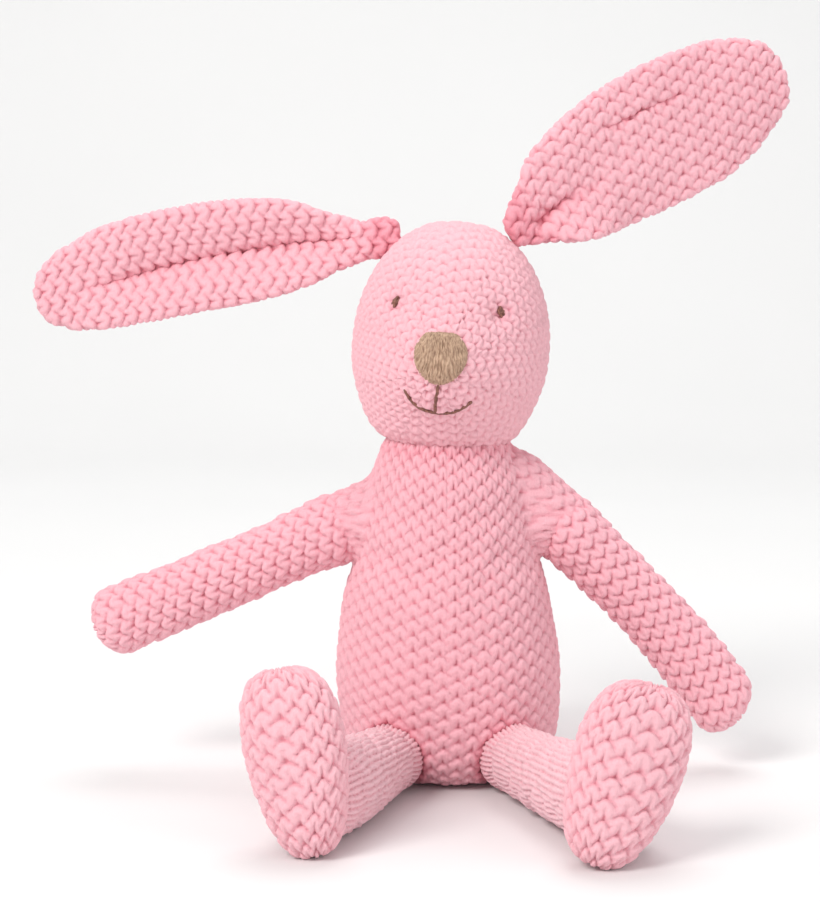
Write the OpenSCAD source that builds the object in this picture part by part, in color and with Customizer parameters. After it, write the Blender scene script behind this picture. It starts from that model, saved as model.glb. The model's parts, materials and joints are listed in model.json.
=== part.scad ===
// A sitting knitted toy rabbit, 22 cm from seat to crown, with long ears.
// Every limb is a stuffed knitted bag sewn to the torso, and it bends at its seam.
// The rabbit looks along -Y and its own left side is at +X. The seat is at z = 0.

/* [Fabric] */
// Thickness of the chunky knitted covers
knit = 3.5; // [2.5:0.5:4]
// Room between the pieces that move against each other
play = 0.5; // [0.4:0.1:1]

/* [Torso] */
// Largest radius of the pear-shaped torso
belly_r = 45; // [42:1:48]
// Height of the ball at the neck, on which the head nods
neck_z = 116; // [112:1:120]
// Radius of the ball at the neck
neck_r = 28; // [26:1:29]

/* [Head] */
// Height of the middle of the cheeks
head_z = 169; // [168:1:174]
// Radius of the cheeks
cheek_r = 38.5; // [37:0.5:40]
// Radius of the muzzle
muzzle_r = 20; // [18:1:21]
// Head turned to its own right in the rest pose
head_turn = 6; // [0:1:10]
// Head tilted to its own left in the rest pose
head_tilt = 5; // [0:1:6]

/* [Ears] */
// Length of an ear from its pivot to its tip
ear_length = 143; // [130:1:146]
// Width of the left ear, which lies open and flat
left_ear_w = 49; // [42:1:52]
// Width of the right ear, which is cupped along its middle
right_ear_w = 41; // [36:1:46]
// Thickness of each of the two layers of an ear
ear_layer = 3.2; // [2.5:0.1:3.5]
// Angle of the left ear above the horizontal
left_ear_rise = 30; // [20:1:40]
// Angle of the right ear above the horizontal
right_ear_rise = -10; // [-15:1:0]
// Angle at which the left ear is swept back
left_ear_sweep = 22; // [0:1:25]
// Angle at which the right ear is swept back
right_ear_sweep = 5; // [0:1:25]

/* [Arms] */
// Length of an arm from its pivot to its tip
arm_length = 103; // [95:1:108]
// Width of the paw
arm_w = 27; // [24:1:28]
// Thickness of the arm from front to back
arm_t = 19; // [17:1:20]
// Radius of the round end at the shoulder
shoulder_r = 10.5; // [9.5:0.5:11]
// Angle of the left arm below the horizontal
left_arm_droop = 42; // [30:1:45]
// Angle of the right arm below the horizontal
right_arm_droop = 24; // [15:1:30]

/* [Legs] */
// Distance from the left hip pivot to its ankle pivot
left_leg_length = 80; // [66:1:82]
// Distance from the right hip pivot to its ankle pivot
right_leg_length = 68; // [66:1:82]
// Radius of the round upper end of a leg
hip_r = 13; // [12:0.5:13.5]
// Radius of the round lower end of a leg
ankle_r = 15.5; // [14:0.5:16]
// Outward angle of the left leg
left_splay = 23; // [18:1:28]
// Outward angle of the right leg
right_splay = 21; // [18:1:28]
// Upward slope of the legs towards the feet
leg_rise = 2.5; // [2:0.5:5]

/* [Feet] */
// Length of the sole from heel to toe
sole_h = 68; // [60:1:70]
// Greatest width of the sole
sole_w = 42; // [38:1:46]
// Thickness of the foot from sole to instep
foot_t = 24; // [20:1:26]
// Outward lean of the left toes
left_foot_lean = 19; // [6:1:20]
// Outward lean of the right toes
right_foot_lean = 11; // [6:1:20]

/* [Hidden] */

pink = [0.97, 0.71, 0.75];
pale_pink = [0.98, 0.78, 0.81];
seam_pink = [0.86, 0.45, 0.53];
fill_white = [0.96, 0.95, 0.93];
thread_brown = [0.36, 0.22, 0.18];
nose_tan = [0.72, 0.61, 0.51];

left = 1;
right = -1;
slack = 0.2;            // between a cover and its stuffing
fill_inset = knit + slack;
knot_r = 3;             // knot of yarn buried in the root of each limb
thread_r = 1;           // sewing yarn of the seams
round_fn = 64;
ring_sides = 24;        // sides of the flattened arms
foot_sides = 32;

hip_x = 24;
hip_y = -38;
hip_z = 14;
shoulder_z = 97.5;
shoulder_x = 47.4;
crown_r = 29.5;
crown_at = [0, 3, 21.5];    // from the middle of the cheeks
ear_root_r = 8;
ear_bow = 5;            // how far the middle of an ear arches up
left_ear_spread = 43;   // angle of the ears' pivots from the top of the crown
right_ear_spread = 56;
foot_ahead = 16;        // from the ankle to the middle of the foot
foot_toe_out = 14;      // outward angle of the soles
left_arm_sag = 11;      // how far the tip of an arm curves down
right_arm_sag = -2;

// A smooth curve through the points, with n steps in each stretch
function curve(points, n = 4) = [
    for (i = [0 : len(points) - 2], k = [0 : n - 1])
        let (a = points[max(i - 1, 0)], b = points[i], c = points[i + 1],
             d = points[min(i + 2, len(points) - 1)], t = k / n)
        b + 0.5 * t * ((c - a) + t * ((2 * a - 5 * b + 4 * c - d) + t * (3 * b - a - 3 * c + d))),
    points[len(points) - 1]
];

// Goes from 0 to 1 along a quarter circle over the first part of a length
function rounding(s, reach) = s >= reach ? 1 : sqrt(max(0, 1 - pow(1 - s / reach, 2)));

// Slides from a to b along the way, smoothly at both ends
function ease(a, b, t) = a + (b - a) * (3 - 2 * t) * t * t;

// The direction in which an ear's pivot lies from the middle of the crown
function ear_spread(side) = side == left ? left_ear_spread : right_ear_spread;
function ear_way(side) = [side * sin(ear_spread(side)), 0, cos(ear_spread(side))];

// A point of the level, forward-looking head, where it is on the turned and tilted head
function head_point(p) =
    let (x = p[0] * cos(head_tilt) + p[2] * sin(head_tilt), z = p[2] * cos(head_tilt) - p[0] * sin(head_tilt))
    [x * cos(head_turn) + p[1] * sin(head_turn), p[1] * cos(head_turn) - x * sin(head_turn), head_z + z];

function ear_pivot(side) = head_point(crown_at + (crown_r + ear_root_r + play) * ear_way(side));

function mirrored(side) = side == left ? [0, 0, 0] : [1, 0, 0];
function shoulder(side) = [side * shoulder_x, 0, shoulder_z];
function hip(side) = [side * hip_x, hip_y, hip_z];

// ---- torso ----

// Side of the torso from the seat to the shoulders, as radius and height
torso_side = curve([
    [belly_r - 15, 0], [belly_r - 7, 3], [belly_r - 2.5, 12], [belly_r, 28], [belly_r - 0.4, 46],
    [belly_r - 4, 68], [belly_r - 8.5, 88], [belly_r - 12.5, 106], [neck_r + 0.5, neck_z - 1]
]);

module torso_outline(inset) {
    side = [for (p = torso_side) [p[0] - inset, max(p[1], inset)]];
    ball = [for (a = [6 : 6 : 84]) (neck_r - inset) * [cos(a), sin(a)] + [0, neck_z]];
    polygon(concat([[0, inset]], side, ball, [[0, neck_z + neck_r - inset]]));
}

// The hollow at the torso's lower front corner in which a leg's round end turns
module hip_hollow(side, grow) {
    translate([side * hip_x, hip_y, hip_z]) {
        sphere(r = hip_r + play + grow, $fn = round_fn);
        translate([0, 0, -hip_z - knit])
            cylinder(r = hip_r + play + grow, h = hip_z + knit, $fn = round_fn);
    }
}

module torso_form(inset) {
    difference() {
        rotate_extrude($fn = round_fn) torso_outline(inset);
        hip_hollow(left, inset);
        hip_hollow(right, inset);
    }
}

module torso_cover() {
    color(pink) difference() {
        torso_form(0);
        torso_form(knit);
    }
}

module torso_stuffing() {
    color(fill_white) difference() {
        torso_form(fill_inset);
        translate([0, 0, neck_z]) sphere(r = knot_r + slack, $fn = round_fn);
    }
}

// ---- head ----

module head_frame() {
    translate([0, 0, head_z]) rotate([0, head_tilt, -head_turn]) children();
}

// Outer shape of the head: crown, cheeks, muzzle and a flattened jaw
module head_form(inset) {
    head_frame() hull() {
        sphere(r = cheek_r - inset, $fn = 40);
        translate(crown_at) sphere(r = crown_r - inset, $fn = 32);
        translate([-1, -30, -4]) sphere(r = muzzle_r - inset, $fn = 32);
        translate([0, 0, -30]) rotate_extrude($fn = 32)
            translate([23, 0]) circle(r = 5 - inset, $fn = 16);
    }
}

module neck_hollow(grow) {
    translate([0, 0, neck_z]) sphere(r = neck_r + play + grow, $fn = round_fn);
}

module head_cover() {
    color(pink) difference() {
        head_form(0);
        neck_hollow(0);
        difference() {
            head_form(knit);
            neck_hollow(knit);
        }
    }
}

module head_stuffing() {
    color(fill_white) difference() {
        head_form(fill_inset);
        neck_hollow(fill_inset);
    }
}

jaw_rim_z = 17.3;       // the opening under the head, above the neck's pivot
jaw_rim_r = 24.4;

// Overcast yarn around the opening under the head
module neck_seam() {
    color(seam_pink) difference() {
        translate([0, 0, neck_z + jaw_rim_z]) rotate_extrude($fn = round_fn)
            translate([jaw_rim_r, 0]) circle(r = thread_r, $fn = 24);
        head_form(-0.1);
    }
}

module neck_knot() {
    color(seam_pink) translate([0, 0, neck_z]) sphere(r = knot_r, $fn = 32);
}

// ---- face ----

// Embroidery that lies on the head: an outline seen from the front, raised by a height
module on_face(raise) {
    intersection() {
        head_frame() rotate([90, 0, 0]) linear_extrude(80) children();
        difference() {
            head_form(-raise);
            head_form(0);
        }
    }
}

eye_x = 20;
eye_z = 19.5;

module eye(side) {
    color(thread_brown) on_face(1.2)
        translate([side * eye_x, eye_z]) rotate(side * 30) scale([1, 1.25]) circle(r = 1.9, $fn = 96);
}

nose_outline = curve([
    [0, 10.5], [-7.5, 9], [-10.6, 2.5], [-9, -4.5], [-4.5, -9.5], [0, -11],
    [4.5, -9.5], [9, -4.5], [10.6, 2.5], [7.5, 9], [0, 10.5]
], 3);

module nose() {
    color(nose_tan) on_face(1.6)
        translate([0, 1]) polygon([for (i = [0 : len(nose_outline) - 2]) nose_outline[i]]);
}

mouth_r = 20;
mouth_half_angle = 34;

module mouth() {
    color(thread_brown) on_face(0.8) translate([0, -9.5]) {
        translate([-0.8, -10.6]) square([1.6, 10.2]);
        translate([0, mouth_r - 11.2]) difference() {
            circle(r = mouth_r + 0.8, $fn = round_fn);
            circle(r = mouth_r - 0.8, $fn = round_fn);
            for (s = [left, right])
                rotate(s * (90 + mouth_half_angle)) translate([s < 0 ? -60 : 0, -30]) square([60, 60]);
            translate([-30, -4]) square([60, 60]);
        }
    }
}

// ---- ears ----

// Half-width of an ear at a fraction of its length, as a share of its full width
ear_share = curve([
    [0.05, 0.12], [0.12, 0.22], [0.22, 0.38], [0.36, 0.47], [0.52, 0.5], [0.7, 0.49],
    [0.84, 0.43], [0.93, 0.32], [0.98, 0.17], [1, 0]
]);
ear_root_edge = sqrt(pow(ear_root_r, 2) - pow(ear_layer, 2));    // keeps the root inside a ball of ear_root_r
ear_root = [for (a = [180 : -12 : 48]) ear_root_edge * [cos(a), sin(a)]];

// The outline of an ear lying along X: a round root, a leaf that arches, and a blunt tip
module ear_panel(width) {
    upper = concat(ear_root, [for (p = ear_share) [p[0] * ear_length, p[1] * width]]);
    lower = [for (i = [len(upper) - 2 : -1 : 1]) [upper[i][0], -upper[i][1]]];
    linear_extrude(ear_layer)
        polygon([for (p = concat(upper, lower)) p + [0, ear_bow * sin(180 * max(0, p[0]) / ear_length)]]);
}

module ear_place(side) {
    rise = side == left ? left_ear_rise : right_ear_rise;
    sweep = side == left ? left_ear_sweep : right_ear_sweep;
    translate(ear_pivot(side)) mirror(mirrored(side)) rotate([0, -rise, sweep]) rotate([90, 0, 0]) children();
}

module ear_front(side) {
    color(pink) ear_place(side) ear_panel(side == left ? left_ear_w : right_ear_w);
}

module ear_back(side) {
    color(pink) ear_place(side)
        translate([0, 0, -ear_layer]) ear_panel(side == left ? left_ear_w : right_ear_w);
}

ear_seam_h = 0.2;       // how far the yarn stands out of the crown

// Yarn that ties the gathered root of an ear down to the crown
module ear_seam(side) {
    color(seam_pink) difference() {
        head_frame() translate(crown_at) rotate([0, side * ear_spread(side), 0])
            translate([0, 0, crown_r - 3]) cylinder(r = 4, h = 3 + ear_seam_h, $fn = 32);
        head_form(-0.05);
    }
}

// ---- arms ----

arm_rings = 16;

function arm_half_w(s) =
    s < shoulder_r ? shoulder_r
    : s < 2 * shoulder_r ? ease(shoulder_r, 0.45 * arm_w, (s - shoulder_r) / shoulder_r)
    : ease(0.45 * arm_w, 0.5 * arm_w, min(1, (s - 2 * shoulder_r) / 60));
function arm_half_t(s) =
    s < 2 * shoulder_r ? shoulder_r : ease(shoulder_r, 0.5 * arm_t, min(1, (s - 2 * shoulder_r) / 40));

// Ring of points around the arm at a distance s along it
function arm_ring(s, inset, total, sag) =
    let (end = rounding(s - inset, shoulder_r - inset) * rounding(total - inset - s, 0.42 * arm_w - inset),
         w = max(0.4, (arm_half_w(s) - inset) * end), t = max(0.4, (arm_half_t(s) - inset) * end),
         x = s - shoulder_r, z = -sag * pow(max(0, x) / arm_length, 2))
    [for (k = [0 : ring_sides - 1])
        let (a = 360 * k / ring_sides) [x, t * cos(a), z + w * sin(a)]];

// A closed loft through rings that all have the same number of points
module loft(rings) {
    n = len(rings[0]);
    last = len(rings) - 1;
    points = [for (ring = rings, p = ring) p];
    sides = [
        for (i = [0 : last - 1], k = [0 : n - 1])
            [i * n + k, (i + 1) * n + k, (i + 1) * n + (k + 1) % n, i * n + (k + 1) % n]
    ];
    split = [for (f = sides) each [[f[0], f[1], f[2]], [f[0], f[2], f[3]]]];
    start = [for (k = [0 : n - 1]) k];
    end = [for (k = [n - 1 : -1 : 0]) last * n + k];
    polyhedron(points = points, faces = concat([start], split, [end]));
}

module arm_form(side, inset) {
    total = arm_length + shoulder_r;
    sag = side == left ? left_arm_sag : right_arm_sag;
    loft([for (i = [0 : arm_rings])
        arm_ring(inset + (total - 2 * inset) * (1 - cos(180 * i / arm_rings)) / 2, inset, total, sag)]);
}

module arm_place(side) {
    droop = side == left ? left_arm_droop : right_arm_droop;
    mirror(mirrored(side)) translate(shoulder(left)) rotate([0, droop, 0]) children();
}

module arm_cover(side) {
    color(pink) arm_place(side) difference() {
        arm_form(side, 0);
        arm_form(side, knit);
    }
}

module arm_stuffing(side) {
    color(fill_white) arm_place(side) difference() {
        arm_form(side, fill_inset);
        sphere(r = knot_r + slack, $fn = 32);
    }
}

shoulder_seam_r = 4.2;
shoulder_seam_tilt = 101;    // from straight up to the direction in which the torso lies

// Yarn around the middle of a shoulder, between the arm's round end and the torso
module shoulder_seam(side) {
    color(seam_pink) difference() {
        mirror(mirrored(side)) translate(shoulder(left)) rotate([0, -shoulder_seam_tilt, 0])
            translate([0, 0, shoulder_r]) rotate_extrude($fn = 48)
                translate([shoulder_seam_r, 0]) circle(r = thread_r / 2, $fn = 16);
        torso_form(-0.05);
    }
}

module limb_knot(place) {
    color(seam_pink) translate(place) sphere(r = knot_r, $fn = 32);
}

// ---- legs ----

function leg_length(side) = side == left ? left_leg_length : right_leg_length;
function leg_splay(side) = side == left ? left_splay : right_splay;

// Outline of a leg from its hip end to its ankle end, as radius and distance along it
module leg_outline(length, inset) {
    hip_arc = [for (a = [-90 : 10 : -10]) (hip_r - inset) * [cos(a), sin(a)]];
    calf = curve([[hip_r, 0], [hip_r + 0.8, 0.3 * length], [ankle_r - 0.8, 0.7 * length], [ankle_r, length]]);
    ankle_arc = [for (a = [10 : 10 : 90]) (ankle_r - inset) * [cos(a), sin(a)] + [0, length]];
    polygon(concat(hip_arc, [for (p = calf) p - [inset, 0]], ankle_arc));
}

module leg_form(side, inset) {
    rotate_extrude($fn = round_fn) leg_outline(leg_length(side), inset);
}

module leg_place(side) {
    mirror(mirrored(side)) translate(hip(left))
        rotate([0, 0, leg_splay(side)]) rotate([90 - leg_rise, 0, 0]) children();
}

module leg_cover(side) {
    color(pale_pink) leg_place(side) difference() {
        leg_form(side, 0);
        leg_form(side, knit);
    }
}

module leg_stuffing(side) {
    color(fill_white) leg_place(side) difference() {
        leg_form(side, fill_inset);
        sphere(r = knot_r + slack, $fn = 32);
    }
}

// ---- feet ----

// The sole's outline is an oval that narrows to the heel
function sole_point(a, w, h) = [w * cos(a) * (1 + 0.17 * sin(a)), h * sin(a)];

// Rings of the foot from the instep to the sole, as size and place along its thickness
function foot_rings(inset) = [
    for (i = [0 : 10])
        let (a = -80 + 16 * i, t = foot_t / 2 - inset,
             edge = pow(max(0.02, cos(a)), 0.55),
             w = (sole_w / 2 - inset) * edge,
             h = (sole_h / 2 - inset) * edge)
        [for (k = [0 : foot_sides - 1])
            let (p = sole_point(360 * k / foot_sides, w, h)) [p[0], p[1], t * sin(a)]]
];

// Where the left ankle would be with this side's leg
function ankle(side) = hip(left) + leg_length(side) * [
    cos(leg_rise) * sin(leg_splay(side)), -cos(leg_rise) * cos(leg_splay(side)), sin(leg_rise)
];

module ankle_place(side) {
    mirror(mirrored(side)) translate(ankle(side)) rotate([0, 0, foot_toe_out]) rotate([90, 0, 0]) children();
}

module ankle_ball(side, grow) {
    ankle_place(side) sphere(r = ankle_r + play + grow, $fn = round_fn);
}

module foot_form(side, inset) {
    lean = side == left ? left_foot_lean : right_foot_lean;
    up = sole_h / 2 - ankle(side)[2];
    difference() {
        ankle_place(side) translate([sin(lean) * up, up, foot_ahead])
            rotate([0, 0, -lean]) loft(foot_rings(inset));
        ankle_ball(side, inset);
    }
}

module foot_cover(side) {
    color(pink) difference() {
        foot_form(side, 0);
        foot_form(side, knit);
    }
}

module foot_stuffing(side) {
    color(fill_white) foot_form(side, fill_inset);
}

// Ring of yarn that sews a foot on around the end of its leg
module ankle_seam(side) {
    color(seam_pink) difference() {
        ankle_place(side) translate([0, 0, foot_ahead - foot_t / 2 - 0.4])
            rotate_extrude($fn = 48) translate([ankle_r + 0.4, 0]) circle(r = 0.6 * thread_r, $fn = 24);
        foot_form(side, -0.1);
        ankle_ball(side, 0);
    }
}

torso_cover();
torso_stuffing();
head_cover();
head_stuffing();
neck_seam();
neck_knot();
eye(left);  // left_eye
eye(right);  // right_eye
nose();
mouth();
ear_front(left);  // left_ear_front
ear_back(left);  // left_ear_back
ear_seam(left);  // left_ear_seam
ear_front(right);  // right_ear_front
ear_back(right);  // right_ear_back
ear_seam(right);  // right_ear_seam
arm_cover(left);  // left_arm_cover
arm_stuffing(left);  // left_arm_stuffing
shoulder_seam(left);  // left_shoulder_seam
limb_knot(shoulder(left));  // left_shoulder_knot
arm_cover(right);  // right_arm_cover
arm_stuffing(right);  // right_arm_stuffing
shoulder_seam(right);  // right_shoulder_seam
limb_knot(shoulder(right));  // right_shoulder_knot
leg_cover(left);  // left_leg_cover
leg_stuffing(left);  // left_leg_stuffing
limb_knot(hip(left));  // left_hip_knot
leg_cover(right);  // right_leg_cover
leg_stuffing(right);  // right_leg_stuffing
limb_knot(hip(right));  // right_hip_knot
foot_cover(left);  // left_foot_cover
foot_stuffing(left);  // left_foot_stuffing
ankle_seam(left);  // left_ankle_seam
foot_cover(right);  // right_foot_cover
foot_stuffing(right);  // right_foot_stuffing
ankle_seam(right);  // right_ankle_seam
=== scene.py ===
"""Looks of the sitting knitted rabbit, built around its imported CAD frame.

Every cover is a closed skin whose stitches are real relief: the height of looped yarn is worked out
from the yarn's own path, for moss stitch and for stocking stitch, and laid over the stuffed form.
Lengths in this script are in millimetres until a mesh is made.
"""
import json
import math

import bpy
import numpy as np
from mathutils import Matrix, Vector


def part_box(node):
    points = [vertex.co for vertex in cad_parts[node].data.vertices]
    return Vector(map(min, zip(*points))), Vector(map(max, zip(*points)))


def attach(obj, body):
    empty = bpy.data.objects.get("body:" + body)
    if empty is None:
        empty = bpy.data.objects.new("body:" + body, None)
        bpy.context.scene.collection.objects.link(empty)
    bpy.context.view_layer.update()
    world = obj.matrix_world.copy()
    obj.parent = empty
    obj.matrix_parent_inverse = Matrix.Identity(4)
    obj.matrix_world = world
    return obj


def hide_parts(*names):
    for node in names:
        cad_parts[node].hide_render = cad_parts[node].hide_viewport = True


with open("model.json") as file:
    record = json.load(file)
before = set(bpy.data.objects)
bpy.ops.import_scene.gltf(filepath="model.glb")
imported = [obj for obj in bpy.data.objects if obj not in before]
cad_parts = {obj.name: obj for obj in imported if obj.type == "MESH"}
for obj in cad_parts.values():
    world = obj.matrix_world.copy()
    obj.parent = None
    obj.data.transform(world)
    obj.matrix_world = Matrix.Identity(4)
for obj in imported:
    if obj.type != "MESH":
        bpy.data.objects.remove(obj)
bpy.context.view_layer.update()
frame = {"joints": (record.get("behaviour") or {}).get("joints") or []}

MM = 0.001
TAU = 2 * math.pi
SIDES = {"left": 1.0, "right": -1.0}


# ---------------------------------------------------------------- small helpers

def joint_at(name):
    """Where a joint is, in millimetres."""
    return np.array(next(j["pos_m"] for j in frame["joints"] if j["name"] == name)) / MM


def through(points, x):
    """A smooth curve through (x, y) points, read at x."""
    px, py = np.array(points, float).T
    slope = np.gradient(py, px)
    i = np.clip(np.searchsorted(px, x) - 1, 0, len(px) - 2)
    h = px[i + 1] - px[i]
    t = np.clip((x - px[i]) / h, 0, 1)
    a, b, c, d = py[i], py[i + 1], slope[i] * h, slope[i + 1] * h
    return a + c * t + (3 * (b - a) - 2 * c - d) * t ** 2 + (2 * (a - b) + c + d) * t ** 3


def path_through(points, n):
    """A smooth path through points of any size, n of them evenly spaced."""
    points = np.array(points, float)
    t = np.arange(len(points))
    fine = np.linspace(0, len(points) - 1, 60 * len(points))
    dense = np.stack([through(np.c_[t, points[:, k]], fine) for k in range(points.shape[1])], 1)
    run = np.r_[0, np.cumsum(np.linalg.norm(np.diff(dense, axis=0), axis=1))]
    at = np.linspace(0, run[-1], n)
    return np.stack([np.interp(at, run, dense[:, k]) for k in range(points.shape[1])], 1), run[-1]


def turned(points, axis, degrees):
    """Points turned about one of the axes through the origin."""
    a = math.radians(degrees)
    c, s = math.cos(a), math.sin(a)
    m = {"x": [[1, 0, 0], [0, c, -s], [0, s, c]],
         "y": [[c, 0, s], [0, 1, 0], [-s, 0, c]],
         "z": [[c, -s, 0], [s, c, 0], [0, 0, 1]]}[axis]
    return points @ np.array(m).T


def unit(v):
    return v / np.maximum(np.linalg.norm(v, axis=-1, keepdims=True), 1e-9)


def waves(a, b, seed, sizes=(1.0, 2.1, 4.3)):
    """A smooth random field of about -1 to 1 over two coordinates, the same on every run."""
    r = np.random.default_rng(seed)
    total = 0
    for k in sizes:
        for _ in range(3):
            angle, phase = r.uniform(0, TAU, 2)
            total = total + np.sin(k * (a * math.cos(angle) + b * math.sin(angle)) + phase) / (3 * k ** 0.5)
    return total / 1.2


def evened(field, passes):
    """A field over a closed grid, averaged with its neighbours again and again."""
    for _ in range(passes):
        field = (field + np.roll(field, 1, 1) + np.roll(field, -1, 1)) / 3
        field[1:-1] = (field[:-2] + field[1:-1] + field[2:]) / 3
    return field


# ---------------------------------------------------------------- stitches

def loop_line(kind, steps=56):
    """Centre-line of one loop of yarn: across in stitches, up in rows, and depth from -1 at the back to 1."""
    t = np.linspace(0, TAU, steps)
    wide, tall = (0.105, 1.84) if kind == "plain" else (0.065, 1.5)
    x = t / TAU + wide * np.sin(2 * t)
    y = (1 - tall) / 2 + tall * (1 - np.cos(t)) / 2
    feet, head = ((1 + np.cos(t)) / 2) ** 3, ((1 - np.cos(t)) / 2) ** 3
    legs = 1 - feet - head
    if kind == "plain":
        return x, y, legs - feet - head
    z = legs + head - feet
    z = z * np.tanh(t / 0.35) * np.tanh((TAU - t) / 0.35)
    return x, y, z if kind == "knit" else -z


ACROSS, ALONG = 44, 28        # samples of a strip in a stitch and in a row


def yarn_strip(kinds, row_share, yarn, depth):
    """Front height of one row of loops, in stitch widths, over two stitches and four rows."""
    u = (np.arange(2 * ACROSS) + 0.5) / ACROSS
    v = -1 + (np.arange(4 * ALONG) + 0.5) / ALONG
    height = np.full((len(v), len(u)), -1.0)
    for k, kind in enumerate(kinds):
        x, y, z = loop_line(kind)
        for shift in (-2, 0, 2):
            for px, py, pz in zip(x + k + shift, y, z):
                if -0.5 < px < 2.5:
                    d2 = (u[None] - px) ** 2 + ((v[:, None] - py) * row_share) ** 2
                    inside = d2 < yarn ** 2
                    h = pz * depth + np.sqrt(np.maximum(yarn ** 2 - d2, 0))
                    height = np.where(inside, np.maximum(height, h), height)
    return height


def soften(height, floor):
    """Wool is soft: gaps end at a floor, and every edge is rounded off."""
    return evened(np.maximum(height, floor), 2)


class Stitch:
    """A stitch pattern: its size in millimetres and the relief of its yarn."""

    def __init__(self, width, row, kinds, yarn=0.25, depth=0.16, floor=-0.17):
        self.width, self.row, self.kinds, self.floor = width, row, kinds, floor
        self.strip = soften(yarn_strip(kinds, row / width, yarn, depth), floor)
        self.shifts = kinds[0] != kinds[1]

    def height(self, columns, v):
        """Height in millimetres. columns(row) gives the stitch coordinate around, for whole rows."""
        best = np.full(v.shape, self.floor)
        base = np.floor(v).astype(int)
        for back in (2, 1, 0, -1):
            row = base - back
            u = columns(row) + (row % 2 if self.shifts else 0)
            best = np.maximum(best, self.sample(u, v - row))
        return best * self.width

    def sample(self, u, v):
        x = (u % 2) * ACROSS - 0.5
        y = np.clip((v + 1) * ALONG - 0.5, 0, 4 * ALONG - 1.001)
        x0, y0 = np.floor(x).astype(int), np.floor(y).astype(int)
        fx, fy = x - x0, y - y0
        xa, xb = x0 % (2 * ACROSS), (x0 + 1) % (2 * ACROSS)
        s = self.strip
        low = s[y0, xa] * (1 - fx) + s[y0, xb] * fx
        high = s[y0 + 1, xa] * (1 - fx) + s[y0 + 1, xb] * fx
        return np.where((v > -1) & (v < 3), low * (1 - fy) + high * fy, -1)


MOSS = ("knit", "purl")
torso_moss = Stitch(5.9, 3.05, MOSS)
head_moss = Stitch(5.0, 2.3, MOSS)
arm_moss = Stitch(5.7, 3.1, MOSS, 0.255, 0.15, -0.15)
ear_moss = Stitch(5.9, 2.95, MOSS, 0.255, 0.15, -0.15)
foot_moss = Stitch(6.8, 3.8, MOSS, 0.255, 0.14, -0.14)
leg_plain = Stitch(4.5, 2.05, ("plain", "plain"), yarn=0.2, depth=0.12, floor=-0.16)


# ---------------------------------------------------------------- meshes

def add_mesh(name, points, faces, shade=None):
    mesh = bpy.data.meshes.new(name)
    mesh.from_pydata((points * MM).tolist(), [], faces)
    mesh.update()
    mesh.polygons.foreach_set("use_smooth", [True] * len(mesh.polygons))
    if shade is not None:
        attribute = mesh.attributes.new("shade", "FLOAT", "POINT")
        attribute.data.foreach_set("value", shade.astype(np.float32))
    piece = bpy.data.objects.new(name, mesh)
    bpy.context.scene.collection.objects.link(piece)
    return piece


def closed_grid(name, grid, shade=None):
    """A closed skin from rings of points: the rings are joined, and each end is drawn in to a point."""
    rings, around, _ = grid.shape
    points = np.concatenate([grid.reshape(-1, 3), [grid[0].mean(0)], [grid[-1].mean(0)]])
    i = np.arange((rings - 1) * around).reshape(rings - 1, around)
    j = np.roll(i, -1, 1)
    quads = np.stack([i, j, j + around, i + around], -1).reshape(-1, 4).tolist()
    k = np.arange(around)
    first, last = rings * around, rings * around + 1
    top = (rings - 1) * around
    ends = [[first, int((a + 1) % around), int(a)] for a in k]
    ends += [[last, int(top + a), int(top + (a + 1) % around)] for a in k]
    if shade is not None:
        shade = np.concatenate([shade.reshape(-1), [shade[0].mean()], [shade[-1].mean()]])
    return add_mesh(name, points, quads + ends, shade)


def outward(grid):
    """Normals of a closed grid of rings."""
    du = np.roll(grid, -1, 1) - np.roll(grid, 1, 1)
    dv = np.gradient(grid, axis=0)
    n = np.cross(du, dv)
    for _ in range(2):
        n[0], n[-1] = n[1].mean(0), n[-2].mean(0)
        n = unit(n)
    middle = grid.mean((0, 1))
    if (n * (grid - middle)).sum() < 0:
        n = -n
    return n


def resampled(coarse, rings, around):
    """A finer grid over the same closed skin, smooth in both directions."""
    r0, a0, _ = coarse.shape
    v = np.linspace(0, r0 - 1, rings)
    u = np.linspace(0, a0, around, endpoint=False)

    def along(data, at, wrap):
        n = data.shape[0]
        i = np.floor(at).astype(int)
        t = (at - i)[:, None, None]
        pick = (lambda k: data[k % n]) if wrap else (lambda k: data[np.clip(k, 0, n - 1)])
        a, b, c, d = pick(i - 1), pick(i), pick(i + 1), pick(i + 2)
        return b + 0.5 * t * ((c - a) + t * ((2 * a - 5 * b + 4 * c - d) + t * (3 * (b - c) + d - a)))

    fine = along(coarse, v, False)
    return along(fine.transpose(1, 0, 2), u, True).transpose(1, 0, 2)


CLOTH_RINGS, CLOTH_HELD = 40, 3       # rings of the coarse cloth, and how many are held at each end
CLOTH_SCALE = 10                      # the cloth is simulated this many times larger
CLOTH_STEPS = 14
CLOTH_MOST = 1.3                      # mm that the cloth may move a skin


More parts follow.
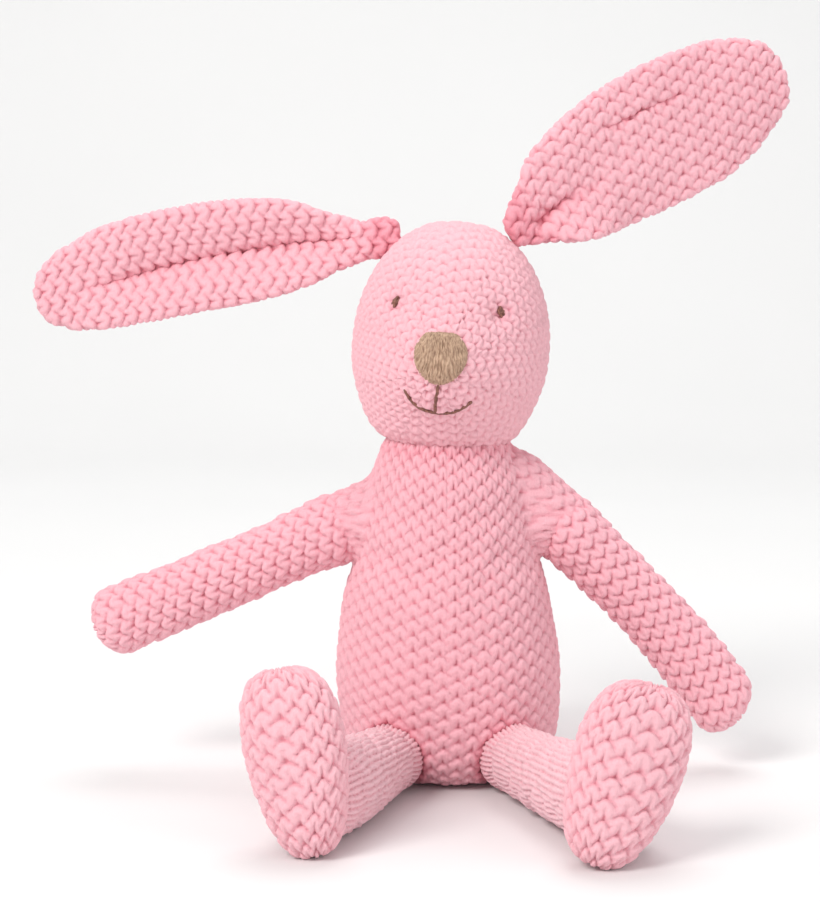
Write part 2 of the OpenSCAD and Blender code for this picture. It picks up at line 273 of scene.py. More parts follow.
def settled(grid, free=1.0):
    """The cover pulled by its stuffing: a short cloth simulation of a coarse grid, read back onto the
    fine one. free, from 0 to 1, is how much of its movement is kept."""
    rings, around, _ = grid.shape
    few = next(k for k in (40, 48, 42) if around % k == 0)
    coarse = grid[np.linspace(0, rings - 1, CLOTH_RINGS).round().astype(int)][:, ::around // few]
    piece = closed_grid("cloth", coarse * CLOTH_SCALE)
    held = piece.vertex_groups.new(name="held")
    first, last, whole = CLOTH_HELD * few, (CLOTH_RINGS - CLOTH_HELD) * few, CLOTH_RINGS * few
    held.add(list(range(first)) + list(range(last, whole + 2)), 1.0, "REPLACE")
    held.add(list(range(first, last)), 0.3, "REPLACE")
    cloth = piece.modifiers.new("cover", "CLOTH")
    rules = cloth.settings
    rules.quality, rules.mass, rules.air_damping = 6, 0.3, 2
    rules.tension_stiffness, rules.compression_stiffness = 18, 12
    rules.shear_stiffness, rules.bending_stiffness = 6, 0.4
    rules.use_pressure, rules.uniform_pressure_force = True, 1.0
    rules.shrink_min = -0.03
    rules.vertex_group_mass, rules.pin_stiffness = "held", 1
    rules.effector_weights.gravity = 0.05
    cloth.collision_settings.use_collision = False
    scene = bpy.context.scene
    for step in range(1, CLOTH_STEPS + 1):
        scene.frame_set(step)
    worn = piece.evaluated_get(bpy.context.evaluated_depsgraph_get())
    after = np.empty(3 * len(worn.data.vertices), np.float32)
    worn.data.vertices.foreach_get("co", after)
    after = after.reshape(-1, 3)[:whole].reshape(CLOTH_RINGS, few, 3) / (CLOTH_SCALE * MM)
    move = after - coarse
    # the stuffed size is already right, so only the unevenness is kept
    normal = outward(coarse)
    move = move - normal * evened((move * normal).sum(-1, keepdims=True), 6)
    size = np.linalg.norm(move, axis=-1, keepdims=True)
    move = move * np.minimum(1, CLOTH_MOST / np.maximum(size, 1e-6))
    bpy.data.objects.remove(piece)
    scene.frame_set(1)
    return grid + resampled(move, rings, around) * np.expand_dims(free, -1)


def knitted(name, grid, stitch, columns, v, ends, dark=None, floor_z=None, free=1.0, patches=()):
    """Lays the stitches over a skin, and keeps how deep each point lies, for painted shade in the recesses.

    ends are the rings over which the relief fades at each end, dark is the painted shade that darkens the
    yarn in creases and between parts, and patches are (share, height) of stitches that run another way.
    """
    grid = settled(grid, free)
    normal = outward(grid)
    height = stitch.height(columns, v)
    for share, other in patches:
        height = height * (1 - share) + other * share
    low, high = stitch.floor * stitch.width, np.percentile(height, 98)
    # painted shade: the lower the yarn lies, the darker its colour
    shade = np.clip((height - low) / (high - low), 0, 1)
    rows = np.arange(grid.shape[0])[:, None]
    for end, reach in zip((rows, rows[::-1]), ends):
        if reach:
            height = height * np.clip(end / reach, 0.15, 1)
    relief = height - 0.35 * high       # the skin lies a third of the way up the yarn
    points = grid + normal * relief[..., None]
    if floor_z is not None:
        points[..., 2] = np.maximum(points[..., 2], floor_z)
    # painted shade in creases and between parts darkens the colour further
    if dark is not None:
        shade = shade * (1 - dark)
    return closed_grid(name, points, shade)


def wandering(turn, v, seed, amount=0.12):
    """Stitches made by hand aren't even: how far each wanders from its place."""
    a = 6 * turn * TAU
    return amount * waves(a * 0.7, v * 0.5, seed), 0.8 * amount * waves(a * 0.6, v * 0.6, seed + 1)


# ---------------------------------------------------------------- materials

def srgb(r, g, b):
    """A colour as seen on a screen, 0 to 255, for a shader."""
    shares = (r / 255, g / 255, b / 255)
    return [c / 12.92 if c <= 0.04045 else ((c + 0.055) / 1.055) ** 2.4 for c in shares] + [1]


def nodes_of(name):
    material = bpy.data.materials.new(name)
    material.use_nodes = True
    tree = material.node_tree
    return material, tree, tree.nodes["Principled BSDF"]


def mix_colour(tree, kind, factor, a, b):
    node = tree.nodes.new("ShaderNodeMix")
    node.data_type, node.blend_type = "RGBA", kind
    for socket, value in ((0, factor), (6, a), (7, b)):
        if isinstance(value, bpy.types.NodeSocket):
            tree.links.new(value, node.inputs[socket])
        else:
            node.inputs[socket].default_value = value
    return node.outputs[2]


def noise(tree, scale, detail=3, roughness=0.55, stretch=None):
    coordinates = tree.nodes.new("ShaderNodeTexCoord")
    texture = tree.nodes.new("ShaderNodeTexNoise")
    texture.inputs["Scale"].default_value = scale
    texture.inputs["Detail"].default_value = detail
    texture.inputs["Roughness"].default_value = roughness
    source = coordinates.outputs["Object"]
    if stretch:
        mapping = tree.nodes.new("ShaderNodeMapping")
        mapping.inputs["Scale"].default_value = stretch
        tree.links.new(source, mapping.inputs["Vector"])
        source = mapping.outputs["Vector"]
    tree.links.new(source, texture.inputs["Vector"])
    return texture.outputs["Fac"]


def ramp(tree, factor, stops):
    node = tree.nodes.new("ShaderNodeValToRGB")
    while len(node.color_ramp.elements) < len(stops):
        node.color_ramp.elements.new(0.5)
    for element, (position, colour) in zip(node.color_ramp.elements, stops):
        element.position, element.color = position, colour
    tree.links.new(factor, node.inputs["Fac"])
    return node.outputs["Color"]


def bump(tree, shader, heights):
    """Fine relief from (height, strength, distance in metres), one on the other."""
    last = None
    for height, strength, distance in heights:
        node = tree.nodes.new("ShaderNodeBump")
        node.inputs["Strength"].default_value = strength
        node.inputs["Distance"].default_value = distance
        tree.links.new(height, node.inputs["Height"])
        if last is not None:
            tree.links.new(last, node.inputs["Normal"])
        last = node.outputs["Normal"]
    tree.links.new(last, shader.inputs["Normal"])


def wool(name, top, middle, deep, sheen_tint, sheen=0.35):
    """Fluffy hand-knitting yarn, with painted shade that makes it darker and redder between the stitches, and
    fine stray fibres.
    """
    material, tree, shader = nodes_of(name)
    depth = tree.nodes.new("ShaderNodeAttribute")
    depth.attribute_name = "shade"
    # the ramp paints shade: the 'shade' attribute is low in recesses and creases, and deep is the painted
    # shade colour there
    colour = ramp(tree, depth.outputs["Fac"], [(0.0, deep), (0.45, middle), (0.8, top), (1.0, top)])
    patches = ramp(tree, noise(tree, 22, 2), [(0.3, (0.93, 0.9, 0.91, 1)), (0.7, (1.0, 1.0, 1.0, 1))])
    colour = mix_colour(tree, "MULTIPLY", 0.6, colour, patches)
    fibres = noise(tree, 1500, 4, 0.7, (1.0, 1.0, 0.45))
    strands = ramp(tree, fibres, [(0.3, (0.84, 0.78, 0.8, 1)), (0.65, (1.0, 1.0, 1.0, 1))])
    colour = mix_colour(tree, "MULTIPLY", 0.55, colour, strands)
    tree.links.new(colour, shader.inputs["Base Color"])
    shader.inputs["Roughness"].default_value = 0.92
    shader.inputs["Specular IOR Level"].default_value = 0.15
    shader.inputs["Sheen Weight"].default_value = sheen
    shader.inputs["Sheen Roughness"].default_value = 0.45
    shader.inputs["Sheen Tint"].default_value = sheen_tint
    bump(tree, shader, [(fibres, 0.7, 0.0007), (noise(tree, 620, 3, 0.65), 0.45, 0.0009)])
    return material


def thread(name, light, dark, scale, sheen=0.2):
    """Stranded embroidery thread, with light and dark strands."""
    material, tree, shader = nodes_of(name)
    strands = noise(tree, scale, 3, 0.6, (1.0, 1.0, 0.3))
    colour = ramp(tree, strands, [(0.32, dark), (0.62, light)])
    tree.links.new(colour, shader.inputs["Base Color"])
    shader.inputs["Roughness"].default_value = 0.62
    shader.inputs["Sheen Weight"].default_value = sheen
    shader.inputs["Sheen Roughness"].default_value = 0.4
    shader.inputs["Sheen Tint"].default_value = light
    bump(tree, shader, [(strands, 0.6, 0.0005)])
    return material


pink = wool("pink_wool", srgb(254, 194, 204), srgb(248, 170, 183), srgb(208, 90, 110), srgb(255, 216, 222))
head_pink = wool("head_wool", srgb(254, 198, 207), srgb(249, 181, 193), srgb(217, 107, 125),
                 srgb(255, 220, 225))
pale = wool("pale_wool", srgb(255, 213, 220), srgb(252, 199, 208), srgb(236, 156, 168), srgb(255, 228, 232))
seam_yarn = wool("seam_yarn", srgb(240, 160, 174), srgb(230, 140, 156), srgb(206, 110, 128),
                 srgb(250, 200, 208))
brown = thread("brown_thread", srgb(150, 102, 86), srgb(88, 54, 46), 1400)
tan = thread("nose_thread", srgb(200, 168, 142), srgb(138, 106, 86), 1300, 0.35)


def finish_piece(piece, body, material, nodes=()):
    piece.data.materials.append(material)
    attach(piece, body)
    if nodes:
        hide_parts(*nodes)
    return piece


# ---------------------------------------------------------------- torso

ARM_DROOP = {"left": 42, "right": 24}       # degrees that each arm hangs below level
ARM_COLUMNS = 14                            # stitches around an arm
STUB_R = 12.6                               # radius of the tube that an arm makes into the torso
HIPS = {side: joint_at(side + "_leg_lift") for side in SIDES}
HIP_R = 13.2
NECK = joint_at("neck_turn")

torso_side, torso_run = path_through([
    (0.6, 2.2), (14, 1.6), (27, 2.0), (34.5, 4.6), (39.4, 10), (42.0, 17), (43.5, 30), (43.5, 44), (42.2, 57),
    (40.2, 70), (37.2, 83), (35, 92), (33.2, 101), (31.8, 108), (30.8, 115), (29.6, 120), (27.6, 125),
    (26, 129), (24.2, 133), (18.5, 138), (8, 142), (0.6, 143.2)], 300)


def shoulder_reach(side, x, y, z):
    """How far the torso's skin stands out where an arm's tube runs into it."""
    pivot, droop = joint_at(side + "_arm_lift"), math.radians(ARM_DROOP[side])
    slope = math.tan(droop)
    across = STUB_R ** 2 - y ** 2
    reach = np.full(z.shape, -1e3)
    # the tube's axis climbs inward from the arm's joint: at each step along it, its outer side is found
    for inward in np.linspace(3.5, 30, 54):
        level = z - (pivot[2] + inward * math.sin(droop))
        room = across - level ** 2
        edge = abs(pivot[0]) - inward * math.cos(droop) + np.sqrt(np.maximum(room, 0))
        # it ends just short of the joint, square to the arm
        edge = np.minimum(edge, abs(pivot[0]) - 2 + 0.9 * slope * (z - pivot[2]))
        reach = np.where(room > 0, np.maximum(reach, edge), reach)
    return evened(np.clip(reach - x, 0, 24) * (x > 8), 5)


def stub_stitches(side, x, y, z):
    """The arm's own stitches, carried on over the part of the torso that stands out to meet it."""
    pivot, droop = joint_at(side + "_arm_lift"), math.radians(ARM_DROOP[side])
    dx, dz = x - abs(pivot[0]), z - pivot[2]
    along = -dx * math.cos(droop) + dz * math.sin(droop)
    level = dx * math.sin(droop) + dz * math.cos(droop)
    turn = np.arctan2(y, level) / TAU
    return arm_moss.height(lambda row: turn * ARM_COLUMNS, 40 - along / arm_moss.row)


def torso_skin():
    columns, samples = 48, 384
    rings = 256
    around = np.arange(samples) / samples
    side, _ = path_through(torso_side, rings)
    r, z = side[:, :1], side[:, 1:]
    angle = around[None] * TAU - math.pi / 2
    x, y = r * np.cos(angle), r * np.sin(angle)
    z = z + 0 * x
    # the stuffed torso leans a little to one side in its middle
    x = x - 1.2 * np.exp(-((z - 70) / 36) ** 2) - 1.2 * np.clip((z - 90) / 40, 0, 1)
    # the stuffing makes it uneven
    r_more = 0.5 * waves(angle * 1.5, z * 0.05, 3)
    x, y = x + r_more * np.cos(angle), y + r_more * np.sin(angle)
    grid = np.stack([x, y, z], -1)
    patches = []
    for side, s in SIDES.items():
        gain = shoulder_reach(side, s * grid[..., 0], grid[..., 1], grid[..., 2])
        grid[..., 0] += s * gain
        stub = stub_stitches(side, s * grid[..., 0], grid[..., 1], grid[..., 2])
        patches.append((np.clip((gain - 1.5) / 1.5, 0, 1), stub))
    dark = np.zeros(z.shape)
    for hip in HIPS.values():
        # room for the round end of a leg, and for the leg when it hangs down
        d = grid - hip
        down = np.minimum(d[..., 2], 0)
        gap = np.sqrt(d[..., 0] ** 2 + d[..., 1] ** 2 + (d[..., 2] - down) ** 2)
        way = unit(np.stack([-grid[..., 0], -grid[..., 1], 0 * gap + 6], -1))
        need = np.clip(HIP_R - gap, 0, None)
        for _ in range(14):
            grid = grid + way * (0.35 * need)[..., None]
            d = grid - hip
            down = np.minimum(d[..., 2], 0)
            gap = np.sqrt(d[..., 0] ** 2 + d[..., 1] ** 2 + (d[..., 2] - down) ** 2)
            need = np.clip(HIP_R - gap, 0, None)
        # painted shade around the round end of each leg
        dark = np.maximum(dark, 0.75 * np.exp(-np.clip(gap - HIP_R, 0, 40) / 2.2))
    # painted shade in the creases under the chin and around the arms
    grid_z = grid[..., 2]
    dark = np.maximum(dark, 0.35 * np.exp(-np.abs(grid_z - 131) / 2.5))
    for side, s in SIDES.items():
        d = np.linalg.norm(grid - joint_at(side + "_arm_lift"), axis=-1)
        dark = np.maximum(dark, 0.35 * np.exp(-np.clip(d - 13.5, 0, 40) / 1.2))
    v = np.linspace(0, torso_run / torso_moss.row, rings)[:, None] + 0 * around[None]
    du, dv = wandering(around[None], v, 11)
    lean = 8 * around[None]
    turns = (around[None] + 0 * v) * columns
    return knitted("torso_skin", grid, torso_moss, lambda row: turns + du, v + dv + lean, (4, 4), dark,
                   floor_z=0.25, free=0.7, patches=patches)


torso = torso_skin()
finish_piece(torso, "torso", pink, ("torso_cover", "torso_stuffing"))


# ---------------------------------------------------------------- head

HEAD = np.array([0.0, 0.0, 169.0])
HEAD_TILT, HEAD_TURN = 5, 6
NOSE_WAY = unit(np.array([-0.03, -0.985, -0.13]))
HEART = np.array([0.0, 0.0, 3.0])      # the middle of the head, from which its surface is measured

# half the head's width at each height above its middle
head_width = [(-36.5, 0), (-36.2, 11), (-35.2, 19.5), (-33.2, 24.6), (-30, 28.2), (-25, 31.4), (-18, 34.4),
              (-11, 36.6),
              (-4, 37.8), (4, 38.0), (12, 37.4), (19, 36.0), (26, 33.6), (33, 30.2), (39, 26), (44, 21),
              (48, 14.6), (50, 9), (51, 0)]


def to_head(points):
    """From the level head's own frame to its place on the rabbit."""
    return turned(turned(points, "y", HEAD_TILT), "z", -HEAD_TURN) + HEAD


def degrees_from(way, other):
    return np.degrees(np.arccos(np.clip(way @ other, -1, 1)))


def head_reach(way):
    """How far the head's surface is from its heart in a direction."""
    low, high = np.zeros(way.shape[:-1]), np.full(way.shape[:-1], 70.0)
    for _ in range(26):
        mid = (low + high) / 2
        p = HEART + way * mid[..., None]
        w = through(head_width, np.clip(p[..., 2], -36.4, 50.9))
        depth = np.maximum(w * np.where(p[..., 1] < 0, 0.97, 1.0), 0.05)
        inside = (p[..., 0] / np.maximum(w, 0.05)) ** 2 + (p[..., 1] / depth) ** 2 < 1
        inside &= np.abs(p[..., 2] - 7.2) < 43.8
        low, high = np.where(inside, mid, low), np.where(inside, high, mid)
    reach = low + 10.5 * np.exp(-(degrees_from(way, NOSE_WAY) / 27) ** 2)
    # cheeks that swell beside the mouth, and dimples where the eyes are drawn in
    for s in (-1, 1):
        cheek = unit(np.array([s * 0.62, -0.74, -0.28]))
        reach = reach + 1.2 * np.exp(-(degrees_from(way, cheek) / 20) ** 2)
        eye = unit(np.array([s * 20, -31.5, 16.5]))
        reach = reach - (3.0 if s > 0 else 2.0) * np.exp(-(degrees_from(way, eye) / 6.5) ** 2)
    return reach


def head_at(x, z):
    """Point of the head's front at (x, z) in the level head's frame, and its normal."""
    x, z = np.asarray(x, float), np.asarray(z, float)

    def depth(x, z):
        low, high = np.full(x.shape, -75.0), np.zeros(x.shape)
        for _ in range(24):
            mid = (low + high) / 2
            p = np.stack([x, mid, z], -1) - HEART
            inside = np.linalg.norm(p, axis=-1) < head_reach(unit(p))
            low, high = np.where(inside, low, mid), np.where(inside, mid, high)
        return (low + high) / 2

    y = depth(x, z)
    gx, gz = (depth(x + 0.5, z) - y) / 0.5, (depth(x, z + 0.5) - y) / 0.5
    return np.stack([x, y, z], -1), unit(np.stack([gx, 0 * gx - 1, gz], -1))


def head_skin():
    rings, samples = 246, 400
    side_way = unit(np.cross(NOSE_WAY, [0, 0, 1]))
    up_way = np.cross(side_way, NOSE_WAY)
    around = np.arange(samples) / samples
    theta = np.linspace(0.012, math.pi - 0.012, 900)
    phi = around[None] * TAU - math.pi / 2

    def ways(theta):
        t = theta[:, None, None]
        across = np.cos(phi)[..., None] * side_way + np.sin(phi)[..., None] * up_way
        return np.cos(t) * NOSE_WAY + np.sin(t) * across

    some = head_reach(ways(theta[::6]))
    mean = np.interp(theta, theta[::6], some.mean(1))
    run = np.r_[0, np.cumsum(np.hypot(np.diff(theta) * mean[1:], np.diff(mean)))]
    at = np.interp(np.linspace(0, run[-1], rings), run, theta)
    way = ways(at)
    reach = head_reach(way)
    grid = HEART + way * reach[..., None]
    ring_length = np.linalg.norm(np.roll(grid, -1, 1) - grid, axis=-1).sum(1)
    v = np.linspace(0, run[-1] / head_moss.row, rings)[:, None] + 0 * around[None]
    du, dv = wandering(around[None], v, 21, 0.1)
    # the ball is knitted in gores: inside each the columns are parallel, and stitches end at its edges
    gores = 8
    turn = around[None] - 0.5
    own = turn - np.round(turn * gores) / gores
    u = own * ring_length[:, None] / head_moss.width + du

    dark = np.zeros(v.shape)
    # painted shade in the dimples of the eyes
    for x, z in ((20, 19.5), (-20, 19.5)):
        p, _ = head_at(x, z)
        dark = np.maximum(dark, 0.5 * np.exp(-(np.linalg.norm(grid - p, axis=-1) / 3.8) ** 2))
    piece_grid = to_head(grid)
    # painted shade under the head, where it meets the neck
    dark = np.maximum(dark, 0.4 * np.clip((137 - piece_grid[..., 2]) / 4, 0, 1))
    # the embroidery holds the face still
    return knitted("head_skin", piece_grid, head_moss, lambda row: u, v + dv, (6, 6), dark,
                   free=np.clip((grid[..., 1] + 22) / 12, 0, 1))


head = head_skin()
finish_piece(head, "head", head_pink, ("head_cover", "head_stuffing"))


def tube(name, line, radius, sides=10, plies=0, twist=1.2, flat=1.0):
    """A closed thread along a line, thinner at its ends, with plies that wind around it."""
    line = np.asarray(line, float)
    n = len(line)
    ahead = unit(np.gradient(line, axis=0))
    up = np.zeros_like(ahead)
    last = unit(np.cross(ahead[0], [0.31, 0.87, 0.38]))
    for i in range(n):
        last = unit(last - (last @ ahead[i]) * ahead[i])
        up[i] = last
    side = np.cross(ahead, up)
    a = np.arange(sides) / sides * TAU
    run = np.r_[0, np.cumsum(np.linalg.norm(np.diff(line, axis=0), axis=1))]
    end = np.minimum(run, run[-1] - run)
    r = radius * np.sqrt(np.clip(1 - (1 - np.clip(end / radius, 0, 1)) ** 2, 0.03, 1))
    shape = np.ones((n, sides))
    if plies:
        wind = plies * a[None] + run[:, None] * twist * TAU / (2 * radius)
        shape = 1 - 0.22 * (0.5 + 0.5 * np.cos(wind)) ** 2
    ring = (np.cos(a)[None, :, None] * up[:, None] + flat * np.sin(a)[None, :, None] * side[:, None])
    return closed_grid(name, line[:, None] + ring * (r[:, None] * shape)[..., None])


def nose_piece():
    """Satin stitches that fan down from the top of the nose, over a rounded shield."""
    outline, _ = path_through([(0, 10.6), (-6, 10.0), (-9.9, 5.4), (-10.7, 0.2), (-9.2, -4.4), (-5.6, -8.6),
                               (0, -10.7), (5.6, -8.6), (9.2, -4.4), (10.7, 0.2), (9.9, 5.4), (6, 10.0),
                               (0, 10.6)], 361)
    outline = outline[:-1] * 0.92
    share = np.r_[np.linspace(0.02, 1, 64), 1.0]
    x = share[:, None] * outline[None, :, 0]
    z = share[:, None] * outline[None, :, 1] + 1.0
    point, normal = head_at(x, z)
    # stitches start on a short line near the top and end at the lower edge
    fan = np.arctan2(x, 17.0 - (z - 1.0)) * 17.0
    wobble = 0.5 * waves(x * 0.6, z * 0.6, 5)
    stitch = np.abs(np.sin((fan + wobble) * math.pi / 0.95)) ** 0.7
    ragged = 0.35 * waves(x * 1.4, z * 0.8, 6)
    lift = 2.3 * np.clip(1 - share[:, None] ** 5, 0, 1) ** 0.6 + 0.5 * stitch + ragged * 0.5
    lift[-1] = -2.0
    grid = to_head(point + normal * lift[..., None])
    shade = np.clip(0.35 + 0.65 * stitch - 0.25 * (z > 6), 0, 1)
    return closed_grid("nose_satin", grid, shade)


def face():
    nose = nose_piece()
    finish_piece(nose, "head", tan, ("nose",))
    # the upright line and the smile are one doubled thread each, laid on the face
    for name, points, radius in (
            ("mouth_line", [(0.2, -8.0), (-0.1, -12.0), (-0.5, -16.0), (-0.6, -19.6)], 0.74),
            ("mouth_smile", [(-12.6, -11.6), (-10.4, -15.2), (-6.6, -18.4), (-0.8, -19.7), (5.2, -19.2),
                             (9.4, -17.0), (12.6, -14.2)], 0.66)):
        line, _ = path_through(points, 90)
        point, normal = head_at(line[:, 0], line[:, 1])
        thread_piece = tube(name, to_head(point + normal * 0.85), radius, 12, plies=2, twist=0.5)
        finish_piece(thread_piece, "head", brown, ("mouth",))
    # each eye is a knot of a few short stitches on one another: their turn, half length and place
    stitches = ((62, 2.1, -0.6), (74, 2.5, 0.05), (58, 2.0, 0.65), (-28, 1.3, 0.1))
    for side, s in SIDES.items():
        for k, (turn, length, off) in enumerate(stitches):
            a = math.radians(turn if s < 0 else 180 - turn)
            t = np.linspace(-1, 1, 24)
            x = s * 20 + length * t * math.cos(a) - off * math.sin(a)
            z = 19.5 + length * t * math.sin(a) + off * math.cos(a)
            point, normal = head_at(x, z)
            arch = 0.5 + 0.9 * (1 - t ** 2) + 0.25 * (k == 3)
            stitch = tube(f"{side}_eye_stitch_{k + 1}", to_head(point + normal * arch[:, None]), 0.56, 10,
                          plies=2, twist=0.6)
            finish_piece(stitch, "head", brown, (side + "_eye",))


face()


# ---------------------------------------------------------------- arms, legs and feet

def stuffed_tube(length, root_r, width, thick, tip, rings, samples, sag=0.0, root_share=1.0):
    """A stuffed tube along X from its round root at the origin to its rounded tip, as a grid of rings."""
    s = np.linspace(0, 1, 700)
    x = -root_r + (length + root_r) * (1 - np.cos(math.pi * s)) / 2
    from_root, from_tip = x + root_r, length - x
    cap = np.sqrt(np.clip(1 - (1 - np.clip(from_root / root_r, 0, 1)) ** 2, 0, 1))
    cap = cap * np.sqrt(np.clip(1 - (1 - np.clip(from_tip / tip, 0, 1)) ** 2, 0, 1))
    w, t = through(width, x) * cap, through(thick, x) * cap
    run = np.r_[0, np.cumsum(np.hypot(np.diff(x), np.diff((w + t) / 2)))]
    at = np.linspace(0, run[-1], rings)
    x, w, t = (np.interp(at, run, q) for q in (x, w, t))
    a = np.arange(samples) / samples * TAU
    drop = -sag * (np.clip(x, 0, None) / length) ** 2
    grid = np.stack([x[:, None] + 0 * a[None], t[:, None] * np.cos(a)[None],
                     drop[:, None] + w[:, None] * np.sin(a)[None]], -1)
    return grid, run[-1]


ARM_SAG = {"left": 11, "right": -2}


def arm_skin(side):
    rings, samples = 300, 168
    root = 13.2
    wide = [(-14, root), (0, root), (13, 12.4), (35, 11.9), (60, 12.3), (80, 12.9), (104, 12.9)]
    thick = [(-14, root), (0, root), (13, 11.3), (40, 10), (75, 10), (104, 9.6)]
    grid, run = stuffed_tube(102.5, root, wide, thick, 9.5, rings, samples, ARM_SAG[side])
    around = np.arange(samples)[None] / samples
    v = np.linspace(0, run / arm_moss.row, rings)[:, None] + 0 * around
    swell = 0.55 * waves(around * TAU, v * 0.35, 31 if side == "left" else 37, (1.0, 1.7))
    grid = grid + outward(grid) * swell[..., None]
    x = grid[..., 0]
    grid = turned(grid, "y", ARM_DROOP[side])
    grid[..., 0] *= SIDES[side]
    grid = grid + joint_at(side + "_arm_lift")
    du, dv = wandering(around, v, 41 if side == "left" else 47)
    # painted shade where the arm meets the torso
    dark = 0.35 * np.exp(-np.clip(x + 8, 0, 200) / 3)
    return knitted(side + "_arm_skin", grid, arm_moss, lambda row: around * ARM_COLUMNS + du, v + dv, (8, 8),
                   dark, free=0.5)


LEG_SPLAY = {"left": 23, "right": 21}
LEG_RISE = 2.5
ANKLE = {side: joint_at(side + "_ankle_bend") for side in SIDES}


def leg_skin(side):
    length = float(np.linalg.norm(ANKLE[side] - HIPS[side]))
    rings, samples, columns = 300, 200, 20
    root = 12.6
    shape = [(-14, root), (0, root), (0.3 * length, 13.4), (0.62 * length, 15.2), (length, 15.6),
             (length + 16, 15.6)]
    grid, run = stuffed_tube(length + 14.5, root, shape, shape, 14.5, rings, samples)
    around = np.arange(samples)[None] / samples
    v = np.linspace(0, run / leg_plain.row, rings)[:, None] + 0 * around
    # soft folds along the thin leg, and a seam pinched at its root
    x = grid[..., 0]
    swell = 0.45 * waves(around * TAU, v * 0.12, 51 if side == "left" else 53, (1.0, 2.0))
    swell = swell - 0.9 * np.exp(-((x - 5) / 4) ** 2)
    grid = grid + outward(grid) * swell[..., None]
    grid = turned(turned(grid, "y", -LEG_RISE), "z", -90 + LEG_SPLAY[side])
    grid[..., 0] *= SIDES[side]
    grid = grid + HIPS[side]
    du, dv = wandering(around, v, 57 if side == "left" else 59, 0.1)
    # painted shade where the leg meets the torso, and at the ankle
    dark = 0.5 * np.exp(-np.clip(x + 1, 0, 200) / 4.5)
    dark = np.maximum(dark, 0.3 * np.exp(-np.clip(length - 6 - x, 0, 200) / 3))
    return knitted(side + "_leg_skin", grid, leg_plain, lambda row: around * columns + du, v + dv, (6, 6),
                   dark, floor_z=0.3)


FOOT_LEAN = {"left": 19, "right": 11}
TOE_OUT = 14
SOLE = {"left": (64.5, 40.5), "right": (67, 36)}       # height and width of each foot
FOOT_T, FOOT_AHEAD = 24, 16
FOOT_IN = {"left": 6, "right": 0}     # how far each foot hangs in towards the other


def foot_skin(side):
    rings, samples, columns = 240, 200, 18
    sole_h, sole_w = SOLE[side]
    b = np.linspace(-math.pi / 2 + 0.02, math.pi / 2 - 0.02, 700)
    height = (sole_h / 2 - 0.8) * np.sin(b)
    wide = (sole_w / 2 - 0.8) * np.cos(b) ** 0.66 * (1 + 0.17 * np.sin(b)) * 0.97
    deep = (FOOT_T / 2 - 0.6) * np.cos(b) ** 0.6 * (1 - 0.12 * np.sin(b))
    run = np.r_[0, np.cumsum(np.hypot(np.diff(height), np.diff((wide + deep) / 2)))]
    at = np.linspace(0, run[-1], rings)
    height, wide, deep = (np.interp(at, run, q) for q in (height, wide, deep))
    around = np.arange(samples)[None] / samples
    a = around * TAU
    round_x = np.sign(np.cos(a)) * np.abs(np.cos(a)) ** 0.88
    round_y = np.sign(np.sin(a)) * np.abs(np.sin(a)) ** 0.88
    grid = np.stack([wide[:, None] * round_x, deep[:, None] * round_y, height[:, None] + 0 * a], -1)
    v = np.linspace(0, run[-1] / foot_moss.row, rings)[:, None] + 0 * around
    swell = 0.6 * waves(around * TAU, v * 0.3, 61 if side == "left" else 67, (1.0, 1.8))
    grid = grid + outward(grid) * swell[..., None]
    lean, up = math.radians(FOOT_LEAN[side]), sole_h / 2 - ANKLE[side][2]
    grid = turned(grid, "y", FOOT_LEAN[side])
    grid = grid + np.array([math.sin(lean) * up - FOOT_IN[side], -FOOT_AHEAD, up])
    grid = turned(grid, "z", TOE_OUT)
    grid[..., 0] *= SIDES[side]
    grid = grid + ANKLE[side]
    du, dv = wandering(around, v, 71 if side == "left" else 73)
    return knitted(side + "_foot_skin", grid, foot_moss, lambda row: around * columns + du, v + dv, (8, 8),
                   floor_z=0.3, free=0.5)


for side in SIDES:
    finish_piece(arm_skin(side), side + "_arm", pink,
                 (side + "_arm_cover", side + "_arm_stuffing"))
    finish_piece(leg_skin(side), side + "_leg", pale,
                 (side + "_leg_cover", side + "_leg_stuffing"))
    finish_piece(foot_skin(side), side + "_foot", head_pink,
                 (side + "_foot_cover", side + "_foot_stuffing"))


# ---------------------------------------------------------------- ears

EAR = {"left": dict(length=133, rise=30, sweep=22, width=56, pattern=-14),
       "right": dict(length=143, rise=-10, sweep=5, width=41, pattern=92)}
# half an ear's width as a share of its greatest width, along its length from root to tip
ear_share = {
    "left": [(-0.06, 0.0), (-0.053, 0.05), (-0.03, 0.1), (0.0, 0.145), (0.04, 0.2), (0.09, 0.285),
             (0.18, 0.375), (0.345, 0.46), (0.52, 0.49), (0.7, 0.47), (0.84, 0.39), (0.93, 0.28),
             (0.98, 0.16), (1.0, 0.0)],
    "right": [(-0.056, 0.0), (-0.05, 0.08), (-0.03, 0.145), (0.0, 0.168), (0.05, 0.17), (0.12, 0.24),
              (0.22, 0.38), (0.36, 0.47), (0.52, 0.5), (0.7, 0.49), (0.84, 0.43), (0.93, 0.32),
              (0.98, 0.17), (1.0, 0.0)]}
# how far each ear's middle is above the line from its joint to its tip
ear_rise = {
    "left": [(-0.06, 3.5), (0, 4.8), (0.09, 6.8), (0.18, 7.0), (0.345, 6.4), (0.52, 4.8), (0.7, 2.9),
             (0.84, 2.3), (1.0, 1.0)],
    "right": [(-0.06, 0.0), (0, 0.0), (0.25, 3.5), (0.5, 5.0), (0.75, 3.5), (1.0, 0.0)]}


